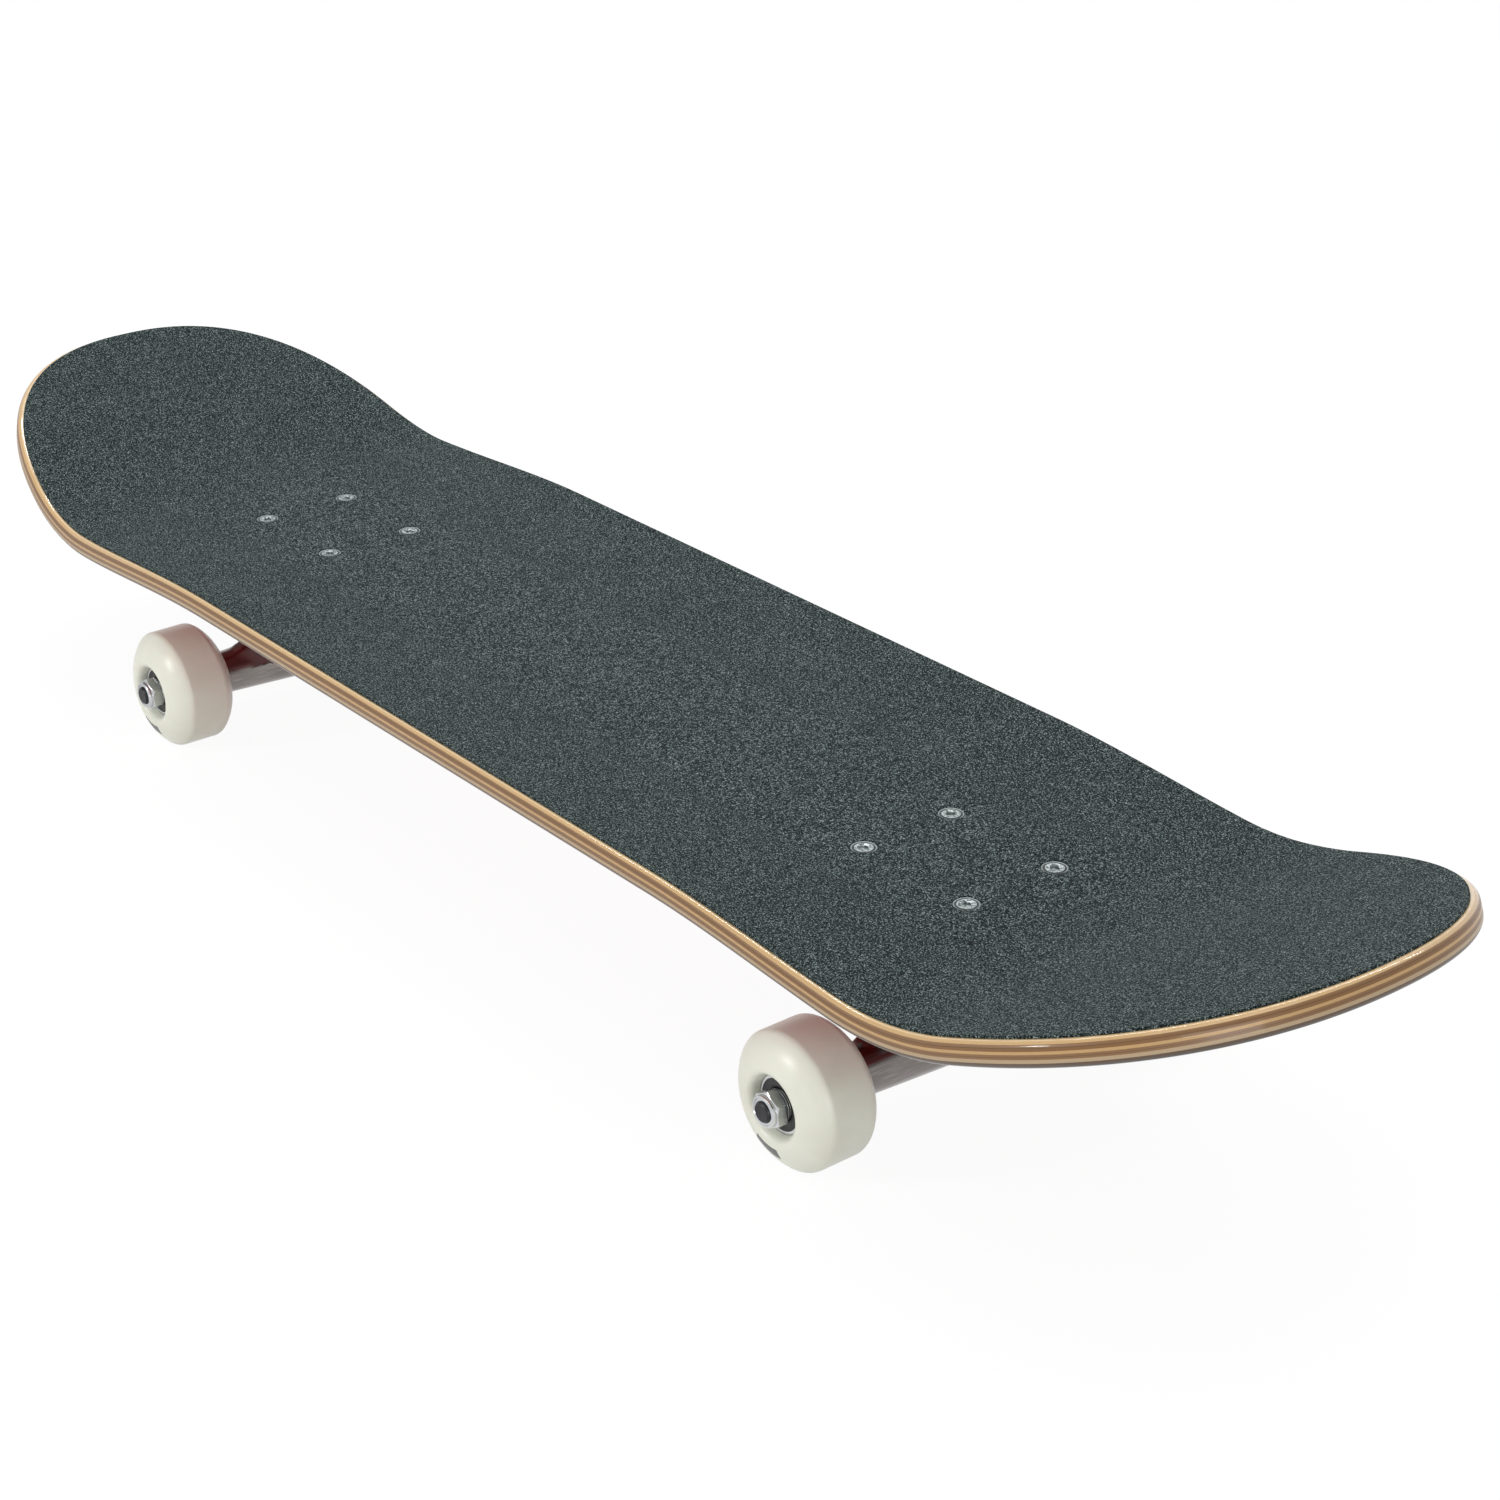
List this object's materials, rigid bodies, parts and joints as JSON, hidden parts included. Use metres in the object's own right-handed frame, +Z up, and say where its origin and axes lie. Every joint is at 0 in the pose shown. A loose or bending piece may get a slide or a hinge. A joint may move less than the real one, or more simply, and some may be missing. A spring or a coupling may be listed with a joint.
{
  "type": "skateboard",
  "caption": "Complete double-kick skateboard: concave laminated deck with grip tape, two sprung leaning trucks and urethane wheels on sealed bearings.",
  "frame": {"origin": "on the ground under the middle of the board, where the bounding box bottom face has its centre", "axes": "+X towards the nose, +Y towards the left rail, +Z up; the wheels stand on Z = 0"},
  "size_m": [0.8126, 0.1972, 0.1306],
  "materials": {
    "maple_deck": "seven-ply maple, alternate plies dyed brown, clear lacquer, underside gloss red with black ends",
    "grip": "dark grey silicon-carbide grit",
    "urethane_wheel": "off-white satin urethane",
    "bushing_urethane": "black urethane",
    "pivot_cup_plastic": "black urethane cup",
    "polished_aluminium": "polished cast aluminium",
    "cast_aluminium": "tumbled cast aluminium",
    "shield_black": "black bearing shield",
    "bearing_steel": "ground bearing steel",
    "zinc_nuts": "zinc plated steel",
    "dark_steel": "black oxide steel",
    "zinc_hardware": "zinc plated steel"
  },
  "bodies": {
    "deck_body": {"baseplate_front": "cast_aluminium", "baseplate_rear": "cast_aluminium", "bushing_board_side_front": "bushing_urethane", "bushing_board_side_rear": "bushing_urethane", "bushing_road_side_front": "bushing_urethane", "bushing_road_side_rear": "bushing_urethane", "deck": "maple_deck", "deck_bolts_front": "zinc_hardware", "deck_bolts_rear": "zinc_hardware", "grip_tape": "grip", "kingpin_front": "dark_steel", "kingpin_nut_front": "zinc_nuts", "kingpin_nut_rear": "zinc_nuts", "kingpin_rear": "dark_steel", "lock_nuts_front": "zinc_nuts", "lock_nuts_rear": "zinc_nuts", "pivot_cup_front": "pivot_cup_plastic", "pivot_cup_rear": "pivot_cup_plastic", "washer_board_side_front": "zinc_hardware", "washer_board_side_rear": "zinc_hardware", "washer_road_side_front": "zinc_hardware", "washer_road_side_rear": "zinc_hardware"},
    "hanger_body_front": {"axle_front": "dark_steel", "axle_nuts_front": "zinc_nuts", "bearing_inner_rings_front": "bearing_steel", "bearing_spacers_front": "bearing_steel", "hanger_front": "polished_aluminium", "speed_washers_front": "zinc_hardware"},
    "wheel_body_front_left": {"bearing_outer_rings_front_left": "bearing_steel", "bearing_shields_front_left": "shield_black", "wheel_front_left": "urethane_wheel"},
    "wheel_body_front_right": {"bearing_outer_rings_front_right": "bearing_steel", "bearing_shields_front_right": "shield_black", "wheel_front_right": "urethane_wheel"},
    "hanger_body_rear": {"axle_nuts_rear": "zinc_nuts", "axle_rear": "dark_steel", "bearing_inner_rings_rear": "bearing_steel", "bearing_spacers_rear": "bearing_steel", "hanger_rear": "polished_aluminium", "speed_washers_rear": "zinc_hardware"},
    "wheel_body_rear_left": {"bearing_outer_rings_rear_left": "bearing_steel", "bearing_shields_rear_left": "shield_black", "wheel_rear_left": "urethane_wheel"},
    "wheel_body_rear_right": {"bearing_outer_rings_rear_right": "bearing_steel", "bearing_shields_rear_right": "shield_black", "wheel_rear_right": "urethane_wheel"}
  },
  "joints": [
    {"name": "steer_front", "type": "hinge", "parent": "deck_body", "child": "hanger_body_front", "pos_m": [0.23284, 0, 0.065], "axis": [0.917, 0, 0.399], "range_deg": [-12, 12], "stiffness_Nm_per_rad": 40, "deforming": ["bushing_board_side_front", "bushing_road_side_front"]},
    {"name": "spin_front_left", "type": "hinge", "parent": "hanger_body_front", "child": "wheel_body_front_left", "pos_m": [0.22044, 0.0785, 0.026], "axis": [0, 1, 0], "continuous": true},
    {"name": "spin_front_right", "type": "hinge", "parent": "hanger_body_front", "child": "wheel_body_front_right", "pos_m": [0.22044, -0.0785, 0.026], "axis": [0, 1, 0], "continuous": true},
    {"name": "steer_rear", "type": "hinge", "parent": "deck_body", "child": "hanger_body_rear", "pos_m": [-0.23109, 0, 0.065], "axis": [0.917, 0, -0.399], "range_deg": [-12, 12], "stiffness_Nm_per_rad": 40, "deforming": ["bushing_board_side_rear", "bushing_road_side_rear"]},
    {"name": "spin_rear_left", "type": "hinge", "parent": "hanger_body_rear", "child": "wheel_body_rear_left", "pos_m": [-0.21869, 0.0785, 0.026], "axis": [0, 1, 0], "continuous": true},
    {"name": "spin_rear_right", "type": "hinge", "parent": "hanger_body_rear", "child": "wheel_body_rear_right", "pos_m": [-0.21869, -0.0785, 0.026], "axis": [0, 1, 0], "continuous": true}
  ]
}
